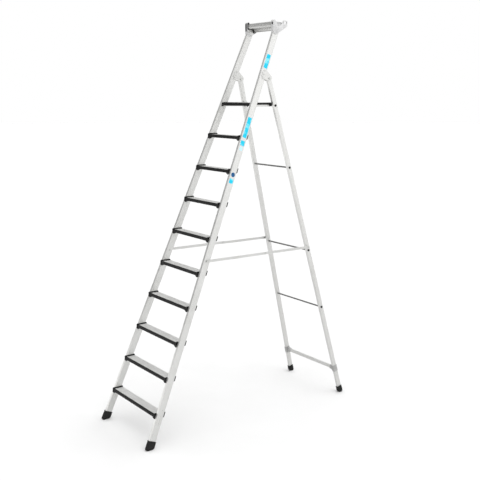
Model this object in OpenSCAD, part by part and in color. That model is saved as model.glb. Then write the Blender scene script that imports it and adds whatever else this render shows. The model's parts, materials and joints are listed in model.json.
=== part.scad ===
// Free-standing folding step ladder: nine ribbed treads and a fold-up standing platform on a
// front frame, a tool tray across the top, and a rear frame that swings in under the front one.
// Units are millimetres. X runs across the ladder, Y from the climbing side to the rear, Z up.
// The floor is at Z = 0 and the footprint is centred on the Z axis.

/* [Front frame] */
// Height from one walking surface to the next
tread_pitch = 235; // [230:1:240]
// Lean of the front frame from the vertical, in degrees
front_lean = 23.16; // [22.8:0.05:23.5]
// Splay of each stile from the middle plane, in degrees
stile_splay = 3.19; // [3:0.01:3.3]
// Distance from the middle plane to a stile's centre line, at the floor
stile_foot_x = 329; // [324:1:334]
// Stile section, front to back
stile_depth = 50; // [46:1:52]
// Stile section, side to side
stile_width = 22; // [20:1:24]
// Wall thickness of the stile section
stile_wall = 1.8; // [1.4:0.1:2.4]

/* [Treads] */
// Depth of a tread from its nose to its rear edge
tread_depth = 80; // [76:1:80]
// Distance of the nose ahead of the stile's centre line
tread_nose = 42; // [40:1:44]
// Height of the black nosing strip
nosing_height = 23; // [20:1:26]
// Height that the rim of an end cap rises over the walking surface
cap_rim = 8; // [5:1:10]

/* [Platform] */
// Depth of the platform behind its pivot
platform_reach = 214; // [212:1:220]
// Distance of the platform's front edge ahead of its pivot
platform_nose = 21; // [18:1:23]
// Height of the platform's side members
platform_height = 27; // [24:1:30]

/* [Rear frame] */
// Lean of the rear frame from the vertical, in degrees
rear_lean = 14.73; // [14.4:0.05:15]
// Splay of each rear leg from the middle plane, in degrees
leg_splay = 3.02; // [2.9:0.01:3.15]
// Rear leg section, front to back
leg_depth = 35; // [32:1:36]
// Rear leg section, side to side
leg_width = 20; // [18:1:20]
// Wall thickness of the rear leg section
leg_wall = 1.6; // [1.2:0.1:2]
// Radius of the round cross rods
rod_radius = 6; // [5:0.5:7]

/* [Hinge and spreaders] */
// Height of the main hinge over the floor
hinge_height = 2525; // [2515:1:2535]
// Distance of the main hinge behind the stile's centre line
hinge_back = 63.6; // [62:0.1:66]
// Height of the spreader's front pivot
spreader_front_z = 1253; // [1240:1:1260]
// Height of the spreader's rear pivot
spreader_rear_z = 1244; // [1238:1:1250]
// Height of the flat spreader bars
link_height = 19; // [16:1:22]
// Share of the spreader's span that the front bar takes
link_share = 0.545; // [0.54:0.001:0.55]

/* [Tool tray] */
// Height of the tray's highest point
tray_top_z = 2946; // [2940:1:2950]
// Half the length of the tray's aluminium section
tray_half = 141.5; // [136:0.5:141.5]

/* [Hidden] */
$fn = 48;
tread_total = 9;
platform_z = tread_pitch * 10;
pivot_z = platform_z - 15;
rod_heights = [2330, 1867, 1216.5, 745.5];
brace_z = 213;
shoe_wall = 4;
front_shoe_top = 64;
rear_shoe_top = 56;
stile_from = 31;
stile_to = 3147;
cap_wall = 4.5;
cap_tab = 6.5;
bar_thick = 3;
rear_bar_x = 262.6;
front_bar_x = 268;
pin_r = 5;
link_pin_r = 4;
run_gap = 0.05;

// Main hinge, first along the stile and then in the ladder's own axes
hinge_s = (hinge_height + hinge_back * sin(front_lean)) / cos(front_lean);
hinge_y_rel = hinge_s * sin(front_lean) + hinge_back * cos(front_lean);
spread = hinge_y_rel + hinge_height * tan(rear_lean);
front_reach = (stile_depth / 2 + shoe_wall) / cos(front_lean);
rear_reach = (leg_depth / 2 + shoe_wall) / cos(rear_lean);
stile_foot_y = -spread / 2 + (front_reach - rear_reach) / 2;
leg_foot_y = stile_foot_y + spread;
hinge_y = stile_foot_y + hinge_y_rel;
hinge_x = stile_foot_x - hinge_s * tan(stile_splay);
leg_foot_x = hinge_x + hinge_height / cos(rear_lean) * tan(leg_splay);

function stile_x(z) = stile_foot_x - z / cos(front_lean) * tan(stile_splay);
function stile_y(z) = stile_foot_y + z * tan(front_lean);
function leg_x(z) = leg_foot_x - z / cos(rear_lean) * tan(leg_splay);
function leg_y(z) = leg_foot_y - z * tan(rear_lean);
function walk_z(k) = k * tread_pitch;
function inner_x(z) = stile_x(z) - stile_width / 2 / cos(stile_splay);

// Points of an arc, corner-rounded rectangle and corner-cut closed outline
function arc(cx, cy, r, a0, a1, n) =
    [for (i = [0:n]) [cx + r * cos(a0 + (a1 - a0) * i / n), cy + r * sin(a0 + (a1 - a0) * i / n)]];
function round_rect(w, d, r, n = 4) = concat(
    arc(w / 2 - r, d / 2 - r, r, 0, 90, n),
    arc(-w / 2 + r, d / 2 - r, r, 90, 180, n),
    arc(-w / 2 + r, -d / 2 + r, r, 180, 270, n),
    arc(w / 2 - r, -d / 2 + r, r, 270, 360, n));
function soften(p) = [for (i = [0:len(p) - 1]) each [
    0.75 * p[i] + 0.25 * p[(i + 1) % len(p)],
    0.25 * p[i] + 0.75 * p[(i + 1) % len(p)]]];

// Placement: one side of the ladder, a stile's own axes, and a rear leg's own axes.
// In the last two, X points outwards, Y to the rear and Z up along the member.
module at_side(side) {
    if (side < 0) mirror([1, 0, 0]) children();
    else children();
}
module both_sides() {
    at_side(1) children();
    at_side(-1) children();
}
module on_stile() {
    translate([stile_foot_x, stile_foot_y, 0])
        rotate([-front_lean, 0, 0])
            rotate([0, -stile_splay, 0]) children();
}
module on_leg() {
    translate([leg_foot_x, leg_foot_y, 0])
        rotate([rear_lean, 0, 0])
            rotate([0, -leg_splay, 0]) children();
}
// A flat outline in Y and Z, drawn along X from x0 to x1
module across(x0, x1) {
    translate([x0, 0, 0])
        rotate([90, 0, 90])
            linear_extrude(x1 - x0) children();
}
module x_rod(r, x0, x1) {
    translate([x0, 0, 0]) rotate([0, 90, 0]) cylinder(r = r, h = x1 - x0);
}
module stile_solid(s0, s1) {
    on_stile() translate([0, 0, s0])
        linear_extrude(s1 - s0) polygon(round_rect(stile_width, stile_depth, 2.5));
}
module leg_solid(s0, s1) {
    on_leg() translate([0, 0, s0])
        linear_extrude(s1 - s0) polygon(round_rect(leg_width, leg_depth, 2));
}
// Room for the stile in an end cap, which laps 5 mm over its front and all of its rear face
module cap_limits(z) {
    on_stile() translate([0, 0, z - 150]) {
        translate([-stile_width / 2, -stile_depth / 2, 0]) cube([200, stile_depth, 300]);
        translate([-stile_width / 2 + 5, -150, 0]) cube([200, 151 - stile_depth / 2, 300]);
        translate([stile_width / 2, stile_depth / 2 - 1, 0]) cube([200, 150, 300]);
        translate([-stile_width / 2, stile_depth / 2 + cap_tab, 0]) cube([200, 150, 300]);
    }
}

// Front frame: stiles
module stile(side) {
    color("Silver") at_side(side) difference() {
        stile_solid(stile_from, stile_to);
        on_stile() translate([0, 0, stile_from - 1])
            linear_extrude(stile_to - stile_from + 2)
                polygon(round_rect(stile_width - 2 * stile_wall, stile_depth - 2 * stile_wall, 1));
        for (k = [1:tread_total])
            translate([0, stile_y(walk_z(k)), walk_z(k) - stud_drop])
                x_rod(4, inner_x(walk_z(k)) - 8, stile_x(walk_z(k)));
        translate([0, stile_y(pivot_z), pivot_z])
            x_rod(pin_r, inner_x(pivot_z) - 8, stile_x(pivot_z));
        translate([0, stile_y(spreader_front_z), spreader_front_z])
            x_rod(link_pin_r, inner_x(spreader_front_z) - 8, front_bar_x);
    }
}

// Front frame: treads. The walking surface is a row of raised ribs.
front_edge = -tread_nose + 6;
rear_edge = tread_depth - tread_nose;
rib_height = 1.2;
function rib_points(from, to, pitch) =
    [for (y = [from:pitch:to - pitch]) each [
        [y, -rib_height],
        [y + pitch * 0.2, 0],
        [y + pitch * 0.6, 0],
        [y + pitch * 0.8, -rib_height]]];
function tread_points() = concat(
    [[front_edge, -22], [front_edge, -rib_height]],
    rib_points(front_edge + 6, rear_edge - 1, 5.6),
    [[rear_edge, -rib_height], [rear_edge, -15], [rear_edge - 2, -17]],
    [[rear_edge - 2, -rib_height - 2.2], [18, -rib_height - 2.2], [18, -13], [16, -13]],
    [[16, -rib_height - 2.2], [-12, -rib_height - 2.2], [-12, -13], [-14, -13]],
    [[-14, -rib_height - 2.2], [front_edge + 2, -rib_height - 2.2], [front_edge + 2, -22]]);
function tread_end_x(k) = inner_x(walk_z(k)) - cap_wall;
module tread(k) {
    color("LightGray") translate([0, stile_y(walk_z(k)), walk_z(k)])
        across(-tread_end_x(k), tread_end_x(k)) polygon(tread_points());
}
function nosing_points() = concat(
    [[front_edge + 5, -rib_height], [front_edge + 5, 0.6], [front_edge + 4.4, 1]],
    arc(-tread_nose + 5, -4, 5, 90, 180, 5),
    arc(-tread_nose + 3, -nosing_height + 4, 3, 180, 270, 3),
    [[front_edge, -nosing_height + 1], [front_edge, -rib_height]]);
module tread_nosings() {
    color("DimGray") for (k = [1:tread_total])
        translate([0, stile_y(walk_z(k)), walk_z(k)])
            across(-tread_end_x(k), tread_end_x(k)) polygon(nosing_points());
}
// End cap: side wall with a raised rim, a hollow nose block under the tread's front corner,
// and a tab behind the stile
function cap_points() = concat(
    [[rear_edge - 5, -25], [rear_edge + 0.6, -13], [rear_edge + 0.6, cap_rim - 3]],
    [[rear_edge - 2, cap_rim], [-tread_nose + 14, cap_rim]],
    arc(-tread_nose + 6, 0, 7.5, 70, 180, 6),
    [[-tread_nose - 1.5, -26], [-tread_nose + 3, -32], [-tread_nose + 14, -33], [-tread_nose + 24, -26]]);
module tread_caps(side) {
    color("DimGray") at_side(side) for (k = [1:tread_total]) difference() {
        union() {
            translate([0, stile_y(walk_z(k)), walk_z(k)])
                across(tread_end_x(k), tread_end_x(k) + 36) polygon(cap_points());
            translate([tread_end_x(k), stile_y(walk_z(k)) - tread_nose + 16, walk_z(k)])
                rotate([90, 0, 0])
                    linear_extrude(16)
                        polygon([[-20, -nosing_height], [0, -nosing_height], [0, -33], [-3, -33]]);
        }
        cap_limits(walk_z(k) / cos(front_lean));
        translate([inner_x(walk_z(k)) - 3, stile_y(walk_z(k)), walk_z(k)])
            across(0, 20) translate([-tread_nose + 9, -12]) polygon(round_rect(13, 28, 4));
        translate([0, stile_y(walk_z(k)), walk_z(k) - stud_drop])
            x_rod(4, tread_end_x(k) - 30, tread_end_x(k) + 30);
    }
}
// Studs that hold the treads, with their heads inside the hollow stiles
stud_drop = 12;
function stud_head_x(k) = inner_x(walk_z(k) - stud_drop) + 2.4;
module tread_studs() {
    color("Gray") both_sides() for (k = [1:tread_total])
        translate([0, stile_y(walk_z(k)), walk_z(k) - stud_drop]) {
            x_rod(4, tread_end_x(k) - 22, stud_head_x(k) + 1);
            x_rod(7, stud_head_x(k), stud_head_x(k) + 3);
        }
}

// Front frame: shoes
module front_shoe(side) {
    color("DimGray") at_side(side) difference() {
        intersection() {
            union() {
                on_stile() translate([0, 0, -80]) linear_extrude(80 + front_shoe_top)
                    polygon(round_rect(stile_width + 2 * shoe_wall, stile_depth + 2 * shoe_wall, 4));
                on_stile() translate([0, 0, -80]) linear_extrude(80 + 24)
                    polygon(round_rect(stile_width + 2 * shoe_wall + 3, stile_depth + 2 * shoe_wall, 5));
            }
            translate([stile_foot_x - 60, stile_foot_y - 100, 0]) cube([120, 200, 150]);
        }
        stile_solid(stile_from, stile_from + 200);
        for (i = [-2:2])
            translate([stile_foot_x - 60, stile_foot_y + i * 10 - 1.5, -1]) cube([120, 3, 3.5]);
    }
}

// Front frame: tool tray. Outlines are drawn from its front face and its highest point.
// A trough with a rolled front lip, and a curved skirt under its floor behind the stiles' tops.
tray_y = stile_y(2872) - 35;
module in_tray() {
    translate([0, tray_y, tray_top_z]) children();
}
tray_section = [
    [16, -48.5], [10.5, -46.8], [6.8, -42.8], [5.5, -38], [5.5, -33], [6.5, -32.5], [6.5, -31.5],
    [5.5, -31], [5.5, -28], [6.5, -27.5], [6.5, -26.5], [5.5, -26], [5.5, -21], [8, -14.5],
    [12, -11], [17, -11], [19, -13.5], [17.5, -15], [13, -14], [10.5, -16.5], [8.5, -21],
    [8.5, -40], [11.5, -45], [98, -45], [98, -28], [101.5, -28], [101.5, -48.5], [54, -48.5],
    [59, -53.5], [63, -61], [65, -68], [65.5, -73], [57.5, -73], [57.5, -70], [62.2, -69.5],
    [60.3, -62.5], [56.5, -55.5], [50.5, -50.5], [42, -48.5]];
cap_outline = [
    [1, -78], [0, -45], [0, -12], [4, -1], [16, 0], [24, -12], [40, -14.5], [84, -17.5], [98, -26],
    [112, -35], [134, -36], [130, -46], [102, -62], [82, -75], [62, -87], [42, -97], [24, -107],
    [8, -102]];
flange_outline = [
    [2, -50], [1, -40], [1, -12], [5, -2], [15, -1], [23, -12], [40, -15.5], [84, -18.5],
    [104, -24], [108, -48], [92, -62], [80, -79], [53, -79], [53, -68], [48, -58], [40, -53],
    [8, -53]];
recess_outline = [
    [30, -18], [84, -21], [78, -30], [68, -38], [57, -43], [46, -42], [37, -35], [32, -27]];
// Black core in the cap's front edge: a full C on the left, and a short insert on the right
left_core = [
    [0, -66], [-2, -40], [-2, -14], [3, -5], [14, -4], [20, -9], [14, -16], [8, -24], [6, -66]];
right_core = [[-0.5, -32], [-0.5, -16], [12, -16], [12, -32]];
module tool_tray() {
    color("LightGray") in_tray() across(-tray_half, tray_half) polygon(tray_section);
}
module flange_core(side) {
    in_tray() across(152, 166) polygon(side < 0 ? left_core : right_core);
}
module tray_flanges() {
    color("DimGray") for (side = [-1, 1]) at_side(side) difference() {
        union() {
            in_tray() across(tray_half, tray_half + 3) polygon(soften(flange_outline));
            flange_core(side);
        }
        stile_solid(3000, stile_to);
        screw_shaft();
    }
}
// End cap: socket for the stile's top, a recess in its outer face and a hook with an eye
module tray_cap(side) {
    color("Gainsboro") at_side(side) difference() {
        union() {
            in_tray() across(tray_half + 3, 171) polygon(soften(soften(cap_outline)));
            in_tray() across(158, 168) translate([116, -20]) polygon(round_rect(38, 36, 12));
        }
        stile_solid(3000, stile_to);
        flange_core(side);
        in_tray() across(165, 175) polygon(soften(recess_outline));
        in_tray() across(tray_half, 180) translate([117, -19]) polygon(round_rect(23, 20, 5));
        screw_shaft();
    }
}
module screw_shaft() {
    in_tray() translate([0, 58, -31]) x_rod(2.5, tray_half, 160);
}
module tray_screws() {
    color("Gray") both_sides() {
        screw_shaft();
        in_tray() translate([0, 58, -31]) x_rod(5, tray_half - 2.2, tray_half);
    }
}

// Front frame: hinge brackets, one pair of cheeks and a roof for each rear leg
hinge_local = hinge_s / cos(stile_splay);
cheek_outline = [
    [-10, 42], [24, 42], [36, 36], [74, 22], [82, 16], [85, 4], [84, -8], [76, -18], [50, -21],
    [24, -26], [-10, -26]];
module at_hinge(side) {
    at_side(side) translate([0, hinge_y, hinge_height]) children();
}
module cheeks() {
    on_stile() for (x = [-stile_width / 2 - 3, stile_width / 2])
        translate([0, 0, hinge_local]) across(x, x + 3) polygon(soften(cheek_outline));
}
module hinge_bracket(side) {
    color("Silver") difference() {
        at_side(side) union() {
            cheeks();
            on_stile() translate([0, 0, hinge_local])
                across(-stile_width / 2, stile_width / 2)
                    polygon([[25, 41], [35, 35.5], [74, 21.3], [80.5, 15.5], [79, 12.5], [72, 18],
                        [34, 31.5], [28, 34], [28, -24], [25, -24]]);
        }
        at_hinge(side) x_rod(pin_r, hinge_x - 30, hinge_x + 30);
        at_side(side) rivet_shafts();
    }
}
rivet_spots = [[4, 32], [4, 5], [4, -12]];
module rivet_shafts() {
    on_stile() for (p = rivet_spots)
        translate([0, p[0], hinge_local + p[1]]) x_rod(2.5, -stile_width / 2 - 5, stile_width / 2 + 5);
}
module bracket_rivets() {
    color("Gray") both_sides() difference() {
        on_stile() for (p = rivet_spots, x = [-stile_width / 2 - 5, stile_width / 2])
            translate([0, p[0], hinge_local + p[1]]) {
                x_rod(2.5, x, x + 5);
                x_rod(4.5, x < 0 ? x : x + 3, x < 0 ? x + 2 : x + 5);
            }
        stile_solid(2500, 3000);
    }
}
module hinge_pins() {
    color("Gray") both_sides() translate([0, hinge_y, hinge_height]) {
        x_rod(pin_r, hinge_x - 16, hinge_x + 16);
        x_rod(9, hinge_x - 18, hinge_x - 14.8);
        x_rod(9, hinge_x + 14.8, hinge_x + 18);
    }
}

// Front frame: platform pivots and the spreaders' front pivots
module platform_pins() {
    color("Gray") both_sides() translate([0, stile_y(pivot_z), pivot_z]) {
        x_rod(pin_r, inner_x(pivot_z) - 14, inner_x(pivot_z) + 4);
        x_rod(8, inner_x(pivot_z) - 2.6, inner_x(pivot_z) - 0.6);
        x_rod(8, inner_x(pivot_z) + 2.4, inner_x(pivot_z) + 5.4);
    }
}
// Each pin runs through its stile, from a head inside to the bar's washer
module spreader_front_pins() {
    head_x = inner_x(spreader_front_z) - 2;
    color("Gray") both_sides() translate([0, stile_y(spreader_front_z), spreader_front_z]) {
        x_rod(link_pin_r, head_x, front_bar_x + bar_thick + 1);
        x_rod(8, front_bar_x + bar_thick + 0.1, front_bar_x + bar_thick + 2.2);
        difference() {
            x_rod(9, head_x + 3, front_bar_x - 0.1);
            translate([0, -stile_y(spreader_front_z), -spreader_front_z]) stile_solid(1200, 1500);
        }
        difference() {
            x_rod(7, head_x, head_x + 3);
            translate([0, -stile_y(spreader_front_z), -spreader_front_z]) stile_solid(1200, 1500);
        }
    }
}

// Plain stickers on the outer face of the right-hand stile
module sticker(z0, z1, w, thick = 0.4) {
    translate([0, 0, z0 / cos(front_lean)])
        across(stile_width / 2, stile_width / 2 + thick)
            translate([0, (z1 - z0) / cos(front_lean) / 2])
                polygon(round_rect(w, (z1 - z0) / cos(front_lean), 3));
}
module label_panels() {
    color("DeepSkyBlue") on_stile() {
        sticker(2602, 2700, 34);
        sticker(2107, 2250, 34);
        sticker(2051, 2086, 36);
        sticker(2018, 2044, 26);
        sticker(1788, 1820, 34);
    }
}
module label_disc() {
    color("RoyalBlue") on_stile() translate([0, 0, 1848 / cos(front_lean)])
        x_rod(16.5, stile_width / 2, stile_width / 2 + 0.4);
}

// Rear frame: legs, with rounded tops around the main hinge
leg_from = 24;
leg_hinge = hinge_height / cos(rear_lean) / cos(leg_splay);
module rear_leg(side) {
    color("Silver") at_side(side) difference() {
        union() {
            leg_solid(leg_from, leg_hinge);
            on_leg() translate([0, 0, leg_hinge]) x_rod(leg_depth / 2, -leg_width / 2, leg_width / 2);
        }
        on_leg() translate([0, 0, leg_from - 1]) linear_extrude(leg_hinge - leg_from - 12)
            polygon(round_rect(leg_width - 2 * leg_wall, leg_depth - 2 * leg_wall, 1));
        translate([0, hinge_y, hinge_height]) x_rod(pin_r + run_gap, hinge_x - 30, hinge_x + 30);
        for (z = rod_heights)
            translate([0, leg_y(z), z]) x_rod(rod_radius, leg_x(z) - 30, leg_x(z) + 30);
        translate([0, leg_y(spreader_rear_z), spreader_rear_z])
            x_rod(link_pin_r, leg_x(spreader_rear_z) - 30, rear_bar_x);
    }
}
module cross_rod(z) {
    color("DimGray") translate([0, leg_y(z), z])
        x_rod(rod_radius, -leg_x(z) - leg_width / 2 - 2, leg_x(z) + leg_width / 2 + 2);
}
module rod_caps() {
    color("DimGray") both_sides() for (z = rod_heights) difference() {
        translate([leg_x(z) + leg_width / 2 - 1, leg_y(z), z]) {
            x_rod(8.5, 0, 5);
            translate([5, 0, 0]) x_rod(7, 0, 2);
        }
        leg_solid(100, 2600);
        translate([0, leg_y(z), z]) x_rod(rod_radius, 0, leg_x(z) + leg_width / 2 + 2);
    }
}

// Rear frame: lower brace in a pair of sleeves
sleeve_height = 54;
brace_end = leg_x(brace_z) - leg_width / 2 - 2.5;
module lower_brace() {
    color("LightGray") translate([0, leg_y(brace_z), brace_z]) difference() {
        across(-brace_end, brace_end) polygon(round_rect(16, 24, 2));
        across(-brace_end - 1, brace_end + 1) polygon(round_rect(13, 21, 1));
    }
}
module brace_sleeve(side) {
    color("DarkGray") at_side(side) difference() {
        union() {
            on_leg() translate([0, 0, brace_z / cos(rear_lean) - sleeve_height / 2])
                linear_extrude(sleeve_height)
                    polygon(round_rect(leg_width + 5, leg_depth + 4.4, 3));
            translate([brace_end, leg_y(brace_z) + 11, brace_z])
                rotate([90, 0, 0]) linear_extrude(22)
                    polygon([[-34, 15], [4, 19], [4, -27], [0, -27], [-12, -15], [-34, -15]]);
        }
        leg_solid(100, 400);
        translate([0, leg_y(brace_z), brace_z]) across(brace_end - 60, brace_end)
            polygon(round_rect(16, 24, 2));
        rivet_row();
    }
}
module rivet_row() {
    translate([brace_end - 24, leg_y(brace_z), brace_z])
        rotate([90, 0, 0]) translate([0, 0, -14]) cylinder(r = 2.5, h = 6);
}
module brace_rivets() {
    color("Gray") both_sides() translate([brace_end - 24, leg_y(brace_z), brace_z])
        rotate([90, 0, 0]) translate([0, 0, -13]) {
            translate([0, 0, 2]) cylinder(r = 2.5, h = 3);
            cylinder(r = 4.5, h = 2);
        }
}

// Rear frame: shoes and the spreaders' rear pivots
module rear_shoe(side) {
    color("DimGray") at_side(side) difference() {
        intersection() {
            union() {
                on_leg() translate([0, 0, -80]) linear_extrude(80 + rear_shoe_top)
                    polygon(round_rect(leg_width + 2 * shoe_wall, leg_depth + 2 * shoe_wall, 4));
                on_leg() translate([0, 0, -80]) linear_extrude(80 + 22)
                    polygon(round_rect(leg_width + 2 * shoe_wall + 3, leg_depth + 2 * shoe_wall, 5));
            }
            translate([leg_foot_x - 60, leg_foot_y - 100, 0]) cube([120, 200, 150]);
        }
        leg_solid(leg_from, leg_from + 200);
        for (i = [-1:1])
            translate([leg_foot_x - 60, leg_foot_y + i * 10 - 1.5, -1]) cube([120, 3, 3.5]);
    }
}
module spreader_rear_pins() {
    head_x = leg_x(spreader_rear_z) - leg_width / 2 - 2;
    color("Gray") both_sides() translate([0, leg_y(spreader_rear_z), spreader_rear_z]) {
        x_rod(link_pin_r, head_x, rear_bar_x + bar_thick + 1);
        x_rod(8, rear_bar_x + bar_thick + 0.1, rear_bar_x + bar_thick + 2);
        difference() {
            x_rod(9, head_x + 3, rear_bar_x - 0.1);
            translate([0, -leg_y(spreader_rear_z), -spreader_rear_z]) leg_solid(1000, 1600);
        }
        difference() {
            x_rod(7, head_x, head_x + 3);
            translate([0, -leg_y(spreader_rear_z), -spreader_rear_z]) leg_solid(1000, 1600);
        }
    }
}

// Platform: drawn from its pivot line, Y to the rear
platform_top = platform_z - pivot_z;
platform_front_x = inner_x(pivot_z) - 3.5;
platform_cap_wall = 5;
module at_pivot() {
    translate([0, stile_y(pivot_z), pivot_z]) children();
}
function platform_half(y) = platform_front_x - y * tan(stile_splay);
module platform_plan(y0, y1, inset) {
    translate([0, 0, -100]) linear_extrude(200) polygon([
        [-platform_half(y0) + inset, y0], [platform_half(y0) - inset, y0],
        [platform_half(y1) - inset, y1], [-platform_half(y1) + inset, y1]]);
}
deck_front = -platform_nose + 6;
deck_rear = platform_reach - 24;
function deck_points() = concat(
    [[deck_front, platform_top - 22], [deck_front, platform_top - rib_height]],
    [for (p = rib_points(deck_front + 6, deck_rear - 1, 5.6)) [p[0], p[1] + platform_top]],
    [[deck_rear, platform_top - rib_height], [deck_rear, platform_top - 20]],
    [[deck_rear - 2.2, platform_top - 20], [deck_rear - 2.2, platform_top - 3.6]],
    [[130, platform_top - 3.6], [130, platform_top - 20], [127.8, platform_top - 20]],
    [[127.8, platform_top - 3.6], [70, platform_top - 3.6], [70, platform_top - 20]],
    [[67.8, platform_top - 20], [67.8, platform_top - 3.6]],
    [[deck_front + 2.2, platform_top - 3.6], [deck_front + 2.2, platform_top - 22]]);
module platform_deck() {
    color("LightGray") at_pivot() intersection() {
        across(-200, 200) polygon(deck_points());
        platform_plan(-60, 260, platform_cap_wall);
    }
}
module platform_nosing() {
    color("DimGray") at_pivot() intersection() {
        across(-200, 200) polygon(concat(
            [[deck_front + 5, platform_top - rib_height], [deck_front + 5, platform_top + 0.6]],
            arc(-platform_nose + 5, platform_top - 4, 5, 90, 180, 5),
            arc(-platform_nose + 3, platform_top - nosing_height + 4, 3, 180, 270, 3),
            [[deck_front, platform_top - nosing_height + 1], [deck_front, platform_top - rib_height]]));
        platform_plan(-60, 260, platform_cap_wall);
    }
}
// Side cap: a lip along the deck's edge, from a front block to a hook over the top cross rod
rod_dy = leg_y(rod_heights[0]) - stile_y(pivot_z);
rod_dz = rod_heights[0] - pivot_z;
lip_top = platform_top + 2;
lip_low = platform_top - 14;
ear_top = platform_top - 9;
ear_rear = 12;
rail_front = -9;
rail_rear = platform_reach - 50;
rail_under_lip = [
    [rail_rear, lip_low], [ear_rear, lip_low], [ear_rear, ear_top], [rail_front, ear_top]];
side_points = concat(
    [[-platform_nose - 1, platform_top - platform_height]],
    arc(-platform_nose + 4, lip_top - 5, 5, 180, 90, 4),
    [[platform_reach - 8, lip_top]],
    arc(platform_reach - 8, lip_top - 8, 8, 90, 0, 4),
    [[platform_reach, rod_dz - 14], [platform_reach - 6, rod_dz - 17]],
    arc(rod_dy, rod_dz, rod_radius + 0.4, -30, 110, 8),
    [[rod_dy - 9, rod_dz + 3], [rod_dy - 18, rod_dz - 5]],
    [[platform_reach - 44, platform_top - platform_height]],
    rail_under_lip,
    [[rail_front, platform_top - platform_height]]);
module platform_side() {
    intersection() {
        across(100, 200) children();
        difference() {
            platform_plan(-60, 260, 0);
            platform_plan(-61, 261, platform_cap_wall);
        }
    }
}
module platform_cap(side) {
    color("DimGray") at_side(side) at_pivot() platform_side() polygon(side_points);
}
// Side rail: the deck's aluminium edge under the cap's lip, with an ear around the pivot pin
module platform_rail(side) {
    color("LightGray") at_side(side) at_pivot() difference() {
        platform_side() polygon(concat(
            [[platform_reach - 44, platform_top - platform_height]],
            rail_under_lip,
            [[rail_front, platform_top - platform_height]]));
        x_rod(pin_r + run_gap, 100, 200);
    }
}

// Spreader bars. The front bar lies outboard of the rear bar.
spread_y0 = stile_y(spreader_front_z);
spread_y1 = leg_y(spreader_rear_z);
spread_len = sqrt(pow(spread_y1 - spread_y0, 2) + pow(spreader_rear_z - spreader_front_z, 2));
spread_tilt = atan2(spreader_rear_z - spreader_front_z, spread_y1 - spread_y0);
front_len = spread_len * link_share;
rear_len = spread_len - front_len;
function bar_points(len) = concat(
    arc(0, 0, link_height / 2, 90, 270, 12),
    arc(len, 0, link_height / 2, -90, 90, 12));
module front_link(side) {
    color("LightGray") at_side(side) translate([0, spread_y0, spreader_front_z])
        rotate([spread_tilt, 0, 0]) difference() {
            across(front_bar_x, front_bar_x + bar_thick) polygon(bar_points(front_len));
            x_rod(link_pin_r + run_gap, front_bar_x - 5, front_bar_x + 10);
            translate([0, front_len, 0]) x_rod(3.5, front_bar_x - 5, front_bar_x + 10);
        }
}
module rear_link(side) {
    color("LightGray") at_side(side) translate([0, spread_y1, spreader_rear_z])
        rotate([180 + spread_tilt, 0, 0]) difference() {
            across(rear_bar_x, rear_bar_x + bar_thick) polygon(bar_points(rear_len));
            x_rod(link_pin_r + run_gap, rear_bar_x - 5, rear_bar_x + 10);
        }
}
// The middle rivet stays with the front bar, and its washer rides on the rear bar
module mid_rivet(side) {
    color("Gray") at_side(side) translate([0, spread_y0, spreader_front_z])
        rotate([spread_tilt, 0, 0]) translate([0, front_len, 0]) {
            x_rod(3.5, front_bar_x, front_bar_x + bar_thick);
            x_rod(8, front_bar_x + bar_thick, front_bar_x + bar_thick + 2);
            x_rod(8, rear_bar_x + bar_thick + 0.4, front_bar_x);
        }
}

stile(-1);  // stile_left
stile(1);  // stile_right
tread(1);  // tread_1
tread(2);  // tread_2
tread(3);  // tread_3
tread(4);  // tread_4
tread(5);  // tread_5
tread(6);  // tread_6
tread(7);  // tread_7
tread(8);  // tread_8
tread(9);  // tread_9
tread_nosings();
tread_caps(-1);  // tread_caps_left
tread_caps(1);  // tread_caps_right
tread_studs();
front_shoe(-1);  // front_shoe_left
front_shoe(1);  // front_shoe_right
tool_tray();
tray_flanges();
tray_cap(-1);  // tray_cap_left
tray_cap(1);  // tray_cap_right
tray_screws();
hinge_bracket(-1);  // hinge_bracket_left
hinge_bracket(1);  // hinge_bracket_right
bracket_rivets();
hinge_pins();
platform_pins();
spreader_front_pins();
label_panels();
label_disc();
rear_leg(-1);  // rear_leg_left
rear_leg(1);  // rear_leg_right
cross_rod(rod_heights[0]);  // platform_rod
cross_rod(rod_heights[1]);  // rear_rod_upper
cross_rod(rod_heights[2]);  // rear_rod_middle
cross_rod(rod_heights[3]);  // rear_rod_lower
rod_caps();
lower_brace();
brace_sleeve(-1);  // brace_sleeve_left
brace_sleeve(1);  // brace_sleeve_right
brace_rivets();
rear_shoe(-1);  // rear_shoe_left
rear_shoe(1);  // rear_shoe_right
spreader_rear_pins();
platform_deck();
platform_nosing();
platform_cap(-1);  // platform_cap_left
platform_cap(1);  // platform_cap_right
platform_rail(-1);  // platform_rail_left
platform_rail(1);  // platform_rail_right
front_link(-1);  // front_link_left
front_link(1);  // front_link_right
rear_link(-1);  // rear_link_left
rear_link(1);  // rear_link_right
mid_rivet(-1);  // mid_rivet_left
mid_rivet(1);  // mid_rivet_right
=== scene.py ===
import json
import math

import bmesh
import bpy
from mathutils import Matrix, Vector


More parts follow.
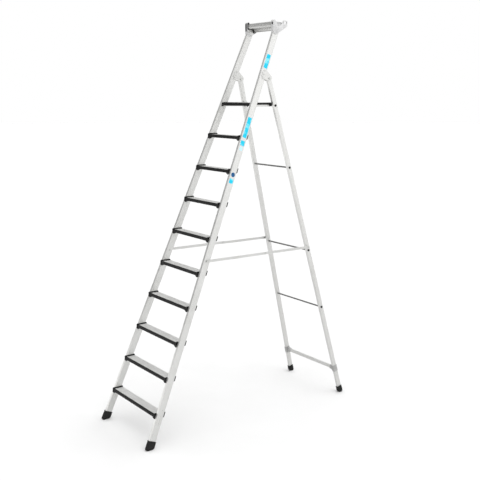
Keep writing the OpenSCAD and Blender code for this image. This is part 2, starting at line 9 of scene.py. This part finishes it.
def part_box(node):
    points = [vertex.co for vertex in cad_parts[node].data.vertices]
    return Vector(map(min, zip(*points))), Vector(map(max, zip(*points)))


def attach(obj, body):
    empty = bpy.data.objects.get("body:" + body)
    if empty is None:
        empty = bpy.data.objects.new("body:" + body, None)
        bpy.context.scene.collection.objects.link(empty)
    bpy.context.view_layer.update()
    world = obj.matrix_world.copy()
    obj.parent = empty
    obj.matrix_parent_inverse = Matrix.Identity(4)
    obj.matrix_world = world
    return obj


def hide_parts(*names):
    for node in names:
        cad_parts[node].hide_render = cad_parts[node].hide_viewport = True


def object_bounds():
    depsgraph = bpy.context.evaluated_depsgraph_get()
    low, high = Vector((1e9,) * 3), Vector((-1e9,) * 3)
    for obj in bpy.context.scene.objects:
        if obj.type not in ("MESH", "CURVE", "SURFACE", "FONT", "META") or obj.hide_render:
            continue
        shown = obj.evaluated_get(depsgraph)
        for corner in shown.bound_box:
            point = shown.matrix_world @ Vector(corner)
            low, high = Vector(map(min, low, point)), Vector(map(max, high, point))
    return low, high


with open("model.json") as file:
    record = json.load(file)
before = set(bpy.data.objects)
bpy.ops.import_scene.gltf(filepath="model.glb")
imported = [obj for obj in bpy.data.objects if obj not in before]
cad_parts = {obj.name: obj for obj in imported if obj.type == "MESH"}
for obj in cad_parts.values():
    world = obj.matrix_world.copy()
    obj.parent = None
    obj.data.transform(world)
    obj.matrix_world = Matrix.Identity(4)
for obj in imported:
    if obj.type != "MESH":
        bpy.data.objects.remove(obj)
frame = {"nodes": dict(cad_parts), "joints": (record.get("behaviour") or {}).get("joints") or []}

cad_low, cad_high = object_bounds()

# Sizes in metres, as in the CAD source
MM = 0.001
TREADS = 9
STILE_DEPTH, STILE_WIDTH = 50 * MM, 22 * MM
LEG_DEPTH, LEG_WIDTH = 35 * MM, 20 * MM
TREAD_FRONT = 36 * MM
CAP_WALL = 4.5 * MM
STILE_ENDS = (31 * MM, 3147 * MM)
ROD_PAST_LEG = 12 * MM
SHOE_WALL = 4 * MM
FRONT_SHOE_TOP, REAR_SHOE_TOP = 64 * MM, 56 * MM
NOSING_LIP = 3 * MM
NOSING_GROOVES = 4
STRIP_GAP = 0.4 * MM

# Limits of the clean-up of a kept CAD node, and its rounded edges
WELD_GAP = 2e-6
FLAT_ANGLE = math.radians(0.6)
EDGE_ANGLE = math.radians(28)
KEPT_EDGE = 0.6 * MM
EDGE_SEGMENTS = 2

# The faded stretch of the cyan panels, along the stile
FADED_RUN = (2.18, 2.2265)

# Camera from the centre of the CAD box, the low light panel and the floor
CAMERA_FROM_CENTRE = Vector((4.782, -3.401, 0.952))
CAMERA_LOOKS = Vector((-0.7917, 0.5825, -0.1843))
CAMERA_LENS, SENSOR_WIDTH, CLIP_END = 59.02, 36, 200
PANEL_PLACE = (-2.2, -3.2, 0.55)
PANEL_LOOKS = Vector((0.6, 0.8, 0))
PANEL_SIZE, PANEL_POWER = (3.0, 1.0), 14
FLOOR_RADIUS, FLOOR_DROP = 60, 0.0005


def box(node):
    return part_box(node)


# ---------------------------------------------------------------- the members' own axes
def side_of(side):
    return "right" if side > 0 else "left"


def stile_line():
    """A stile's centre line from the treads' boxes: floor point, lean and splay."""
    (a0, a1), (b0, b1) = box("tread_1"), box(f"tread_{TREADS}")
    low, high = a1.z, b1.z
    dx = (b1.x - a1.x) / (high - low)
    dy = (b0.y - a0.y) / (high - low)
    lean = math.atan(dy)
    splay = math.atan(-dx * math.cos(lean))
    inner = a1.x + CAP_WALL - dx * low
    foot = Vector((inner + STILE_WIDTH / 2 / math.cos(splay), a0.y + TREAD_FRONT - dy * low, 0))
    return foot, lean, splay


def leg_line():
    """A rear leg's centre line from the hinge joint and the rods' boxes, in the same form."""
    joint = next(j for j in frame["joints"] if j["name"] == "rear_frame_fold")
    hinge_y, hinge_z = joint["pos_m"][1], joint["pos_m"][2]
    low, high = box("rear_rod_lower"), box("rear_rod_upper")
    y0, z0 = (low[0].y + low[1].y) / 2, (low[0].z + low[1].z) / 2
    x0, x1 = low[1].x, high[1].x
    z1 = (high[0].z + high[1].z) / 2
    lean = math.atan((y0 - hinge_y) / (hinge_z - z0))
    splay = math.atan((x0 - x1) / (z1 - z0) * math.cos(lean))
    foot_y = y0 + z0 * math.tan(lean)
    foot_x = x0 - ROD_PAST_LEG + z0 * math.tan(splay) / math.cos(lean)
    return Vector((foot_x, foot_y, 0)), -lean, splay


def member_matrix(foot, lean, splay, side):
    """Local X to the right, Y to the rear, Z up along the member."""
    m = (
        Matrix.Translation(foot)
        @ Matrix.Rotation(-lean, 4, "X")
        @ Matrix.Rotation(-splay, 4, "Y")
    )
    if side < 0:
        flip = Matrix.Diagonal((-1, 1, 1, 1))
        m = flip @ m @ flip
    return m


STILE = {side: member_matrix(*stile_line(), side) for side in (-1, 1)}
LEG = {side: member_matrix(*leg_line(), side) for side in (-1, 1)}


# ---------------------------------------------------------------- materials
class Paint:
    """A material with one Principled shader and short calls for the nodes around it."""

    def __init__(self, name, axes=None, **sockets):
        self.mat = bpy.data.materials.new(name)
        self.mat.use_nodes = True
        self.tree = self.mat.node_tree
        self.tree.nodes.clear()
        out = self.tree.nodes.new("ShaderNodeOutputMaterial")
        self.bsdf = self.tree.nodes.new("ShaderNodeBsdfPrincipled")
        self.link(self.bsdf.outputs[0], out.inputs[0])
        for key, value in sockets.items():
            self.bsdf.inputs[key.replace("_", " ")].default_value = value
        self.coord = self.tree.nodes.new("ShaderNodeTexCoord").outputs["Object"]
        if axes is not None:
            turn = self.tree.nodes.new("ShaderNodeMapping")
            back = axes.inverted()
            turn.inputs["Rotation"].default_value = back.to_euler("XYZ")
            turn.inputs["Location"].default_value = back.translation
            self.link(self.coord, turn.inputs["Vector"])
            self.coord = turn.outputs[0]

    def link(self, a, b):
        self.tree.links.new(a, b)

    def set(self, socket, value):
        if isinstance(value, bpy.types.NodeSocket):
            self.link(value, socket)
        else:
            socket.default_value = value

    def stretch(self, scale):
        node = self.tree.nodes.new("ShaderNodeMapping")
        node.inputs["Scale"].default_value = scale
        self.link(self.coord, node.inputs["Vector"])
        return node.outputs[0]

    def noise(self, scale, vector=None, detail=3.0, rough=0.55):
        node = self.tree.nodes.new("ShaderNodeTexNoise")
        node.inputs["Scale"].default_value = scale
        node.inputs["Detail"].default_value = detail
        node.inputs["Roughness"].default_value = rough
        self.link(vector or self.coord, node.inputs["Vector"])
        return node.outputs["Fac"]

    def cells(self, scale):
        node = self.tree.nodes.new("ShaderNodeTexVoronoi")
        node.inputs["Scale"].default_value = scale
        self.link(self.coord, node.inputs["Vector"])
        return node.outputs["Distance"]

    def ramp(self, value, a, b, low=0.0, high=1.0):
        node = self.tree.nodes.new("ShaderNodeMapRange")
        node.interpolation_type = "SMOOTHSTEP"
        self.link(value, node.inputs["Value"])
        for key, v in (("From Min", a), ("From Max", b), ("To Min", low), ("To Max", high)):
            node.inputs[key].default_value = v
        return node.outputs[0]

    def math(self, operation, a, b):
        node = self.tree.nodes.new("ShaderNodeMath")
        node.operation = operation
        self.set(node.inputs[0], a)
        self.set(node.inputs[1], b)
        return node.outputs[0]

    def mix(self, fac, a, b):
        node = self.tree.nodes.new("ShaderNodeMix")
        node.data_type = "RGBA"
        self.set(node.inputs["Factor"], fac)
        self.set(node.inputs["A"], a)
        self.set(node.inputs["B"], b)
        return node.outputs["Result"]

    def axis(self, vector, name):
        node = self.tree.nodes.new("ShaderNodeSeparateXYZ")
        self.link(vector, node.inputs[0])
        return node.outputs[name]

    def facing_up(self):
        node = self.tree.nodes.new("ShaderNodeNewGeometry")
        return self.axis(node.outputs["Normal"], "Z")

    def bump(self, *layers):
        """Each layer is (height, strength, distance in metres)."""
        normal = None
        for height, strength, distance in layers:
            node = self.tree.nodes.new("ShaderNodeBump")
            node.inputs["Strength"].default_value = strength
            node.inputs["Distance"].default_value = distance
            self.link(height, node.inputs["Height"])
            if normal:
                self.link(normal, node.inputs["Normal"])
            normal = node.outputs[0]
        self.link(normal, self.bsdf.inputs["Normal"])

    def colour(self, value):
        self.link(value, self.bsdf.inputs["Base Color"])

    def rough(self, value):
        self.link(value, self.bsdf.inputs["Roughness"])


def grey(v, warm=0.0):
    return (v + warm * 0.6, v + warm * 0.6, v - warm, 1)


def aluminium(name, base, along, axes=None):
    """Satin anodised extrusion: fine lines along one axis, faint clouding and handling marks."""
    p = Paint(name, axes, Metallic=0.85)
    scale = tuple(0.006 if "XYZ"[i] == along else 1.0 for i in range(3))
    lines = p.noise(2600, p.stretch(scale), detail=2.0)
    broad = p.noise(420, p.stretch(scale), detail=2.0)
    cloud = p.noise(7, detail=4.0)
    spots = p.noise(60, detail=5.0, rough=0.7)
    scale = tuple(0.02 if "XYZ"[i] == along else 1.0 for i in range(3))
    scratch = p.ramp(p.noise(1500, p.stretch(scale), detail=0.0), 0.72, 0.76)
    tint = p.mix(p.ramp(cloud, 0.3, 0.7), grey(base * 0.96, 0.01), grey(base * 1.03, 0.006))
    tint = p.mix(p.ramp(lines, 0.35, 0.65, 0.0, 0.3), tint, grey(base * 0.88, 0.008))
    tint = p.mix(p.ramp(spots, 0.62, 0.8, 0.0, 0.25), tint, grey(base * 0.82, 0.01))
    p.colour(p.mix(p.math("MULTIPLY", scratch, 0.35), tint, grey(min(base * 1.2, 0.95))))
    soft = p.ramp(broad, 0.3, 0.7, 0.28, 0.42)
    p.rough(p.math("ADD", soft, p.ramp(cloud, 0.35, 0.65, -0.03, 0.05)))
    p.bump((lines, 0.1, 0.00006), (scratch, 0.1, 0.00005), (p.noise(25), 0.06, 0.0008))
    return p.mat


def ribbed(name, base, along):
    """Tread surface: satin extrusion with fine cross serration, darker in its valleys on upward
    faces, and dirt in its texture.
    """
    p = Paint(name, Metallic=0.6)
    wave = p.tree.nodes.new("ShaderNodeTexWave")
    wave.bands_direction = along
    wave.inputs["Scale"].default_value = 160
    wave.inputs["Distortion"].default_value = 0.6
    wave.inputs["Detail"].default_value = 1.0
    p.link(p.coord, wave.inputs["Vector"])
    serration = wave.outputs["Fac"]
    cloud = p.noise(11, detail=5.0)
    dirt = p.noise(95, detail=6.0, rough=0.7)
    up = p.ramp(p.facing_up(), 0.5, 0.9)
    tint = p.mix(p.ramp(cloud, 0.3, 0.7), grey(base * 0.95, 0.008), grey(base * 1.04, 0.006))
    # Darker colour in the serration's valleys on upward faces, following the serration bump.
    dip = p.math("MULTIPLY", p.ramp(serration, 0.2, 0.8, 0.3, 0.0), up)
    tint = p.mix(dip, tint, grey(base * 0.7))
    p.colour(p.mix(p.ramp(dirt, 0.56, 0.8, 0.0, 0.3), tint, grey(base * 0.65, 0.01)))
    p.rough(p.ramp(dirt, 0.3, 0.75, 0.42, 0.62))
    p.bump(
        (p.math("MULTIPLY", serration, up), 0.4, 0.0003),
        (p.noise(1800, detail=2.0), 0.1, 0.0001),
    )
    return p.mat


def moulded(name, base, roughness, sheen, dust=0.05):
    """Moulded plastic or rubber: fine spark-eroded grain, uneven gloss and a little dust."""
    p = Paint(name, Specular_IOR_Level=sheen)
    pits = p.cells(1500)
    fine = p.noise(2550, detail=3.0)
    cloud = p.noise(18, detail=4.0)
    flow = p.noise(70, p.stretch((1.0, 0.25, 0.25)), detail=3.0)
    tint = p.mix(p.ramp(cloud, 0.3, 0.7), grey(base * 0.85), grey(base * 1.12))
    patches = p.ramp(p.noise(45, detail=5.0), 0.4, 0.75)
    settled = p.math("MULTIPLY", p.ramp(p.facing_up(), 0.35, 1.0), patches)
    p.colour(p.mix(p.math("MULTIPLY", settled, dust), tint, grey(min(base + 0.2, 0.75), 0.01)))
    p.rough(p.ramp(flow, 0.3, 0.7, roughness[0], roughness[1]))
    p.bump((pits, 0.25, 0.00012), (fine, 0.2, 0.0001), (p.noise(40), 0.1, 0.0006))
    return p.mat


def rubber(name):
    """Shoe rubber: matt, with scuffs that fade out above the sole."""
    p = Paint(name, Specular_IOR_Level=0.18)
    low = p.ramp(p.axis(p.coord, "Z"), 0.0, 0.03, 1.0, 0.0)
    scuff = p.math("MULTIPLY", p.ramp(p.noise(130, detail=6.0, rough=0.75), 0.5, 0.72), low)
    tint = p.mix(p.ramp(p.noise(30, detail=4.0), 0.3, 0.7), grey(0.009), grey(0.015))
    p.colour(p.mix(p.math("MULTIPLY", scuff, 0.4), tint, grey(0.08, 0.008)))
    p.rough(p.ramp(p.noise(90, detail=4.0), 0.3, 0.7, 0.6, 0.82))
    p.bump((p.noise(1900, detail=3.0), 0.3, 0.00015), (scuff, 0.3, 0.0003))
    return p.mat


def plated(name):
    """Zinc-plated steel with turning marks and small stains."""
    p = Paint(name, Metallic=1.0)
    cloud = p.noise(160, detail=5.0)
    tint = p.mix(p.ramp(cloud, 0.3, 0.7), (0.42, 0.43, 0.42, 1), (0.62, 0.62, 0.6, 1))
    p.colour(tint)
    p.rough(p.ramp(p.noise(700, detail=4.0), 0.3, 0.7, 0.24, 0.48))
    p.bump((p.noise(2500, p.stretch((0.2, 1, 1)), detail=2.0), 0.2, 0.00006))
    return p.mat


def painted(name, base, roughness=(0.35, 0.5)):
    """Powder-coated or cast metal with orange peel."""
    p = Paint(name, Metallic=0.3)
    cloud = p.noise(24, detail=4.0)
    p.colour(p.mix(p.ramp(cloud, 0.3, 0.7), grey(base * 0.88, 0.003), grey(base * 1.1, 0.001)))
    p.rough(p.ramp(p.noise(300, detail=3.0), 0.3, 0.7, roughness[0], roughness[1]))
    p.bump((p.noise(900, detail=1.0), 0.3, 0.00012), (p.cells(2400), 0.12, 0.00006))
    return p.mat


def film(name, colour, pale, faded=None):
    """Printed film: a plain colour with paler bars and patches; faded is a stretch along Z."""
    p = Paint(name, STILE[1], Specular_IOR_Level=0.25, Coat_Weight=0.08, Coat_Roughness=0.15)
    bars = p.ramp(p.noise(60, p.stretch((1.0, 0.25, 1.0)), detail=0.0), 0.5, 0.56)
    patch = p.ramp(p.noise(28, detail=2.0), 0.4, 0.6)
    ink = p.mix(p.math("MULTIPLY", bars, patch), colour, pale)
    if faded:
        run = p.axis(p.coord, "Z")
        inside = p.math("MULTIPLY", p.ramp(run, faded[0], faded[0] + 0.003),
                        p.ramp(run, faded[1] - 0.003, faded[1], 1.0, 0.0))
        ink = p.mix(p.math("MULTIPLY", inside, 0.65), ink, (0.75, 0.88, 0.92, 1))
    p.colour(ink)
    p.rough(p.ramp(p.noise(240, detail=4.0), 0.3, 0.7, 0.25, 0.45))
    p.bump((p.noise(600, detail=2.0), 0.08, 0.0001))
    return p.mat


MATS = {
    "stile_right": aluminium("stile_aluminium_right", 0.62, "Z", STILE[1]),
    "stile_left": aluminium("stile_aluminium_left", 0.62, "Z", STILE[-1]),
    "leg_right": aluminium("leg_aluminium_right", 0.6, "Z", LEG[1]),
    "leg_left": aluminium("leg_aluminium_left", 0.6, "Z", LEG[-1]),
    "cross": aluminium("cross_aluminium", 0.56, "X"),
    "bar": aluminium("bar_aluminium", 0.58, "Y"),
    "tread": ribbed("tread_aluminium", 0.62, "X"),
    "black": moulded("black_plastic", 0.008, (0.42, 0.62), 0.16, 0.03),
    "rubber": rubber("shoe_rubber"),
    "cap": moulded("grey_plastic", 0.55, (0.38, 0.52), 0.4),
    "steel": plated("plated_steel"),
    "rod": painted("rod_steel", 0.12),
    "cast": painted("cast_metal", 0.36, (0.4, 0.6)),
    "cyan": film("label_cyan", (0.0, 0.52, 0.72, 1), (0.22, 0.7, 0.8, 1), FADED_RUN),
    "blue": film("label_blue", (0.002, 0.07, 0.2, 1), (0.01, 0.16, 0.36, 1)),
}


def soften(obj, width):
    """Rounds an object's edges with a bevel."""
    soft = obj.modifiers.new("soft", "BEVEL")
    soft.width = width
    soft.segments = EDGE_SEGMENTS
    soft.limit_method = "ANGLE"
    soft.angle_limit = EDGE_ANGLE
    soft.harden_normals = True
    return soft


def refine(node, material):
    """Keeps a CAD node, with a material and softened edges."""
    obj = frame["nodes"][node]
    mesh = obj.data
    mesh.materials.clear()
    mesh.materials.append(MATS[material])
    for name in ("custom_normal", "sharp_edge", "sharp_face"):
        if name in mesh.attributes:
            mesh.attributes.remove(mesh.attributes[name])
    for face in mesh.polygons:
        face.use_smooth = True
    weld = obj.modifiers.new("weld", "WELD")
    weld.merge_threshold = WELD_GAP
    flat = obj.modifiers.new("flat", "DECIMATE")
    flat.decimate_type = "DISSOLVE"
    flat.angle_limit = FLAT_ANGLE
    soften(obj, KEPT_EDGE).use_clamp_overlap = True


KEPT = {
    "leg_left": ["rear_leg_left"],
    "leg_right": ["rear_leg_right"],
    "cross": ["tool_tray", "lower_brace", "platform_rail_left", "platform_rail_right"],
    "bar": ["front_link_left", "front_link_right", "rear_link_left", "rear_link_right",
            "hinge_bracket_left", "hinge_bracket_right"],
    "tread": [f"tread_{k}" for k in range(1, TREADS + 1)] + ["platform_deck"],
    # The black of tray_flanges is partly black plastic and partly painted shade: it stands for
    # the shadow gap between the tray and its caps.
    "black": ["tread_caps_left", "tread_caps_right", "tray_flanges",
              "platform_cap_left", "platform_cap_right", "rod_caps"],
    "cap": ["tray_cap_left", "tray_cap_right"],
    "steel": ["tread_studs", "tray_screws", "bracket_rivets", "hinge_pins", "platform_pins",
              "spreader_front_pins", "brace_rivets", "spreader_rear_pins",
              "mid_rivet_left", "mid_rivet_right"],
    "rod": ["platform_rod", "rear_rod_upper", "rear_rod_middle", "rear_rod_lower"],
    "cast": ["brace_sleeve_left", "brace_sleeve_right"],
    "cyan": ["label_panels"],
    "blue": ["label_disc"],
}


# ---------------------------------------------------------------- pieces made here
def arc(cx, cy, r, a0, a1, n):
    turns = [math.radians(a0 + (a1 - a0) * i / n) for i in range(n + 1)]
    return [(cx + r * math.cos(t), cy + r * math.sin(t)) for t in turns]


def loft(bm, rings):
    """Faces between rings of equal length, closed at both ends."""
    loops = [[bm.verts.new(p) for p in ring] for ring in rings]
    n = len(loops[0])
    for a, b in zip(loops, loops[1:]):
        for i in range(n):
            bm.faces.new((a[i], a[(i + 1) % n], b[(i + 1) % n], b[i]))
    bm.faces.new(loops[0])
    bm.faces.new(loops[-1])


def make_piece(name, bm, material, node, body, width):
    """Turns a bmesh in the row frame into a piece that stands for one CAD node."""
    bmesh.ops.recalc_face_normals(bm, faces=bm.faces)
    mesh = bpy.data.meshes.new(name)
    bm.to_mesh(mesh)
    bm.free()
    for face in mesh.polygons:
        face.use_smooth = True
    mesh.materials.append(MATS[material])
    obj = bpy.data.objects.new(name, mesh)
    bpy.context.scene.collection.objects.link(obj)
    soften(obj, width)
    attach(obj, body)
    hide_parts(node)


def groove(a, b, at, width, depth, inward):
    """Points of a V-bottomed groove across the straight run from a to b."""
    a, b, inward = Vector(a), Vector(b), Vector(inward)
    along = (b - a).normalized()
    mid = a + (b - a) * at
    return [
        tuple(mid - along * width / 2),
        tuple(mid - along * width / 5 + inward * depth),
        tuple(mid + along * width / 5 + inward * depth),
        tuple(mid + along * width / 2),
    ]


def stile_outline():
    """The extrusion's section, with lengthwise grooves in its front, rear and outer faces."""
    w, d, r = STILE_WIDTH / 2, STILE_DEPTH / 2, 2.5 * MM
    out = arc(w - r, d - r, r, 0, 90, 5)
    for at in (0.22, 0.78):
        out += groove((w - r, d), (-w + r, d), at, 1.3 * MM, 0.6 * MM, (0, -1))
    out += arc(-w + r, d - r, r, 90, 180, 5) + arc(-w + r, -d + r, r, 180, 270, 5)
    for at in (0.22, 0.78):
        out += groove((-w + r, -d), (w - r, -d), at, 1.3 * MM, 0.6 * MM, (0, 1))
    out += arc(w - r, -d + r, r, 270, 360, 5)
    for at in (0.05, 0.95):
        out += groove((w, -d + r), (w, d - r), at, 1.4 * MM, 0.6 * MM, (-1, 0))
    return out


def make_stiles():
    for side in (-1, 1):
        bm = bmesh.new()
        outline = [(side * x, y) for x, y in stile_outline()]
        loft(bm, [[STILE[side] @ Vector((x, y, s)) for x, y in outline] for s in STILE_ENDS])
        word = side_of(side)
        make_piece(f"stile_profile_{word}", bm, f"stile_{word}", f"stile_{word}",
                   "front_frame", 0.3 * MM)


def nosing_outline(top=1 * MM, foot=-19 * MM):
    """Black strip around a front edge, with grip grooves, in Y and Z from the walking surface."""
    back, face = -37 * MM, -42 * MM
    out = [(-31 * MM, -1.2 * MM), (-31 * MM, top - 0.4 * MM), (-31.6 * MM, top)]
    for at in (0.25, 0.75):
        out += groove((-31.6 * MM, top), (back, top), at, 1.3 * MM, 0.7 * MM, (0, -1))
    out += arc(back, top - 5 * MM, 5 * MM, 90, 180, 6)
    for i in range(NOSING_GROOVES):
        at = (i + 0.55) / NOSING_GROOVES
        out += groove((face, top - 5 * MM), (face, foot), at, 1.8 * MM, 0.8 * MM, (1, 0))
    out += arc(face + NOSING_LIP, foot, NOSING_LIP, 180, 270, 4)
    return out + [(-36 * MM, foot - NOSING_LIP), (-36 * MM, -1.2 * MM)]


def make_nosings():
    """The treads' strips are one piece; the platform's strip is another."""
    bm = bmesh.new()
    for k in range(1, TREADS + 1):
        low, high = box(f"tread_{k}")
        rings = [[(x, y + low.y + TREAD_FRONT, z + high.z) for y, z in nosing_outline()]
                 for x in (low.x, high.x)]
        loft(bm, rings)
    make_piece("tread_grip_strips", bm, "black", "tread_nosings", "front_frame",
               0.25 * MM)
    bm = bmesh.new()
    low, high = box("platform_nosing")
    walk = box("platform_deck")[1].z
    outline = nosing_outline(high.z - walk, low.z - walk + NOSING_LIP)
    rings = [[(x, y + low.y + 42 * MM, z + walk) for y, z in outline]
             for x in (low.x + STRIP_GAP, high.x - STRIP_GAP)]
    loft(bm, rings)
    make_piece("platform_grip_strip", bm, "black", "platform_nosing", "platform",
               0.25 * MM)


def rounded(w, d, r, n=4):
    """A rounded rectangle with half sizes w and d."""
    return (arc(w - r, d - r, r, 0, 90, n) + [(0, d)] + arc(-w + r, d - r, r, 90, 180, n)
            + [(-w, 0)] + arc(-w + r, -d + r, r, 180, 270, n) + [(0, -d)]
            + arc(w - r, -d + r, r, 270, 360, n) + [(w, 0)])


def make_shoe(frame_matrix, width, depth, top, node, body):
    """Moulded shoe: rolled lip with a dip at its front and rear, ribs, and a grooved sole."""
    w, d = width / 2 + SHOE_WALL, depth / 2 + SHOE_WALL
    back = frame_matrix.inverted()
    up = frame_matrix.to_3x3().transposed() @ Vector((0, 0, 1))
    foot = frame_matrix @ Vector((0, 0, 0))

    def ring(grow, part, lift=0.0):
        """part runs from 0 at lift above the floor to 1 at the shoe's top."""
        out = []
        for x, y in rounded(w + grow, d + grow, 5 * MM):
            floor_s = (lift - foot.z - up.x * x - up.y * y) / up.z
            dip = 4 * MM * max(0.0, 1 - abs(x) / w) * (1 if abs(y) > d * 0.6 else 0)
            out.append(frame_matrix @ Vector((x, y, floor_s + (top - dip - floor_s) * part)))
        return out

    bm = bmesh.new()
    rings = [ring(-8 * MM, 0, 3 * MM), ring(-4.5 * MM, 0, 3 * MM), ring(-1.4 * MM, 0.05, 3 * MM),
             ring(0.2 * MM, 0.13, 3 * MM), ring(0.6 * MM, 0.3, 3 * MM)]
    for part in (0.34, 0.44, 0.54, 0.64):
        rings += [ring(0.9 * MM, part), ring(-0.1 * MM, part + 0.012),
                  ring(-0.1 * MM, part + 0.045), ring(0.9 * MM, part + 0.057)]
    rings += [ring(0.2 * MM, 0.74), ring(-0.4 * MM, 0.9), ring(0.8 * MM, 0.92),
              ring(0.8 * MM, 0.975), ring(-0.6 * MM, 1.0), ring(-3.6 * MM, 1.0),
              ring(-3.8 * MM, 0.93)]
    loft(bm, rings)
    half = width / 2
    for i in range(-2, 3):
        y = foot.y + i * 9 * MM + (1.5 * MM if body == "front_frame" else -1 * MM)
        if abs(i) * 9 * MM + 5 * MM > depth / 2 + SHOE_WALL:
            continue
        bar = rounded(half + 1 * MM, 3 * MM, 1.5 * MM, 2)
        loft(bm, [[(foot.x + x, y + v, z) for x, v in bar] for z in (0.0, 4 * MM)])
    make_piece(f"ribbed_{node}", bm, "rubber", node, body, 0.5 * MM)


def make_shoes():
    for side in (-1, 1):
        word = side_of(side)
        make_shoe(STILE[side], STILE_WIDTH, STILE_DEPTH, FRONT_SHOE_TOP,
                  f"front_shoe_{word}", "front_frame")
        make_shoe(LEG[side], LEG_WIDTH, LEG_DEPTH, REAR_SHOE_TOP,
                  f"rear_shoe_{word}", "rear_frame")


# ---------------------------------------------------------------- floor, light and camera
def make_floor():
    mesh = bpy.data.meshes.new("floor")
    bm = bmesh.new()
    bmesh.ops.create_circle(bm, cap_ends=True, segments=96, radius=FLOOR_RADIUS)
    bm.to_mesh(mesh)
    bm.free()
    floor = bpy.data.objects.new("floor", mesh)
    floor.location = (0, 0, cad_low.z - FLOOR_DROP)
    bpy.context.scene.collection.objects.link(floor)
    p = Paint("floor_paper", Specular_IOR_Level=0.1, Roughness=0.9)
    p.colour(p.mix(p.ramp(p.noise(3, detail=3.0), 0.3, 0.7), grey(0.7), grey(0.71)))
    mesh.materials.append(p.mat)


def make_light():
    """A soft studio: brighter from the right and above, darker at the left front."""
    world = bpy.data.worlds.new("studio")
    bpy.context.scene.world = world
    world.use_nodes = True
    tree = world.node_tree
    tree.nodes.clear()
    new = tree.nodes.new
    out = new("ShaderNodeOutputWorld")
    coord = new("ShaderNodeTexCoord").outputs["Generated"]

    def calc(operation, a, b):
        node = new("ShaderNodeMath")
        node.operation = operation
        for i, v in enumerate((a, b)):
            if isinstance(v, bpy.types.NodeSocket):
                tree.links.new(v, node.inputs[i])
            else:
                node.inputs[i].default_value = v
        return node.outputs[0]

    def remap(value, a, b, low, high):
        node = new("ShaderNodeMapRange")
        node.interpolation_type = "SMOOTHSTEP"
        tree.links.new(value, node.inputs["Value"])
        for key, v in (("From Min", a), ("From Max", b), ("To Min", low), ("To Max", high)):
            node.inputs[key].default_value = v
        return node.outputs[0]

    dot = new("ShaderNodeVectorMath")
    dot.operation = "DOT_PRODUCT"
    tree.links.new(coord, dot.inputs[0])
    dot.inputs[1].default_value = (0.78, 0.62, 0.0)
    split = new("ShaderNodeSeparateXYZ")
    tree.links.new(coord, split.inputs[0])
    side = remap(dot.outputs["Value"], -0.9, 0.9, 0.44, 1.5)
    lift = remap(split.outputs["Z"], 0.45, 0.95, 0.0, 1.0)
    low = remap(split.outputs["Z"], 0.01, 0.1, 0.2, 0.0)
    total = calc("ADD", calc("ADD", side, lift), low)
    light = new("ShaderNodeBackground")
    tree.links.new(total, light.inputs["Strength"])
    light.inputs["Color"].default_value = (1, 1, 1, 1)
    seen = new("ShaderNodeBackground")
    seen.inputs["Color"].default_value = (1, 1, 1, 1)
    mixer = new("ShaderNodeMixShader")
    path = new("ShaderNodeLightPath")
    tree.links.new(path.outputs["Is Camera Ray"], mixer.inputs[0])
    tree.links.new(light.outputs[0], mixer.inputs[1])
    tree.links.new(seen.outputs[0], mixer.inputs[2])
    tree.links.new(mixer.outputs[0], out.inputs[0])
    panel = bpy.data.lights.new("low_panel", "AREA")
    panel.shape = "RECTANGLE"
    panel.size, panel.size_y = PANEL_SIZE
    panel.energy = PANEL_POWER
    lamp = bpy.data.objects.new("low_panel", panel)
    lamp.location = PANEL_PLACE
    lamp.rotation_mode = "QUATERNION"
    lamp.rotation_quaternion = PANEL_LOOKS.to_track_quat("-Z", "Y")
    lamp.visible_camera = False
    bpy.context.scene.collection.objects.link(lamp)


def make_camera():
    data = bpy.data.cameras.new("camera")
    camera = bpy.data.objects.new("camera", data)
    bpy.context.scene.collection.objects.link(camera)
    centre = (cad_low + cad_high) / 2
    data.lens = CAMERA_LENS
    data.sensor_width = SENSOR_WIDTH
    data.clip_end = CLIP_END
    camera.location = centre + CAMERA_FROM_CENTRE
    camera.rotation_mode = "QUATERNION"
    camera.rotation_quaternion = CAMERA_LOOKS.to_track_quat("-Z", "Y")
    bpy.context.scene.camera = camera


for material, nodes in KEPT.items():
    for node in nodes:
        refine(node, material)
make_stiles()
make_nosings()
make_shoes()
make_floor()
make_light()
make_camera()
bpy.context.scene.view_settings.view_transform = "Standard"
bpy.context.scene.view_settings.look = "None"
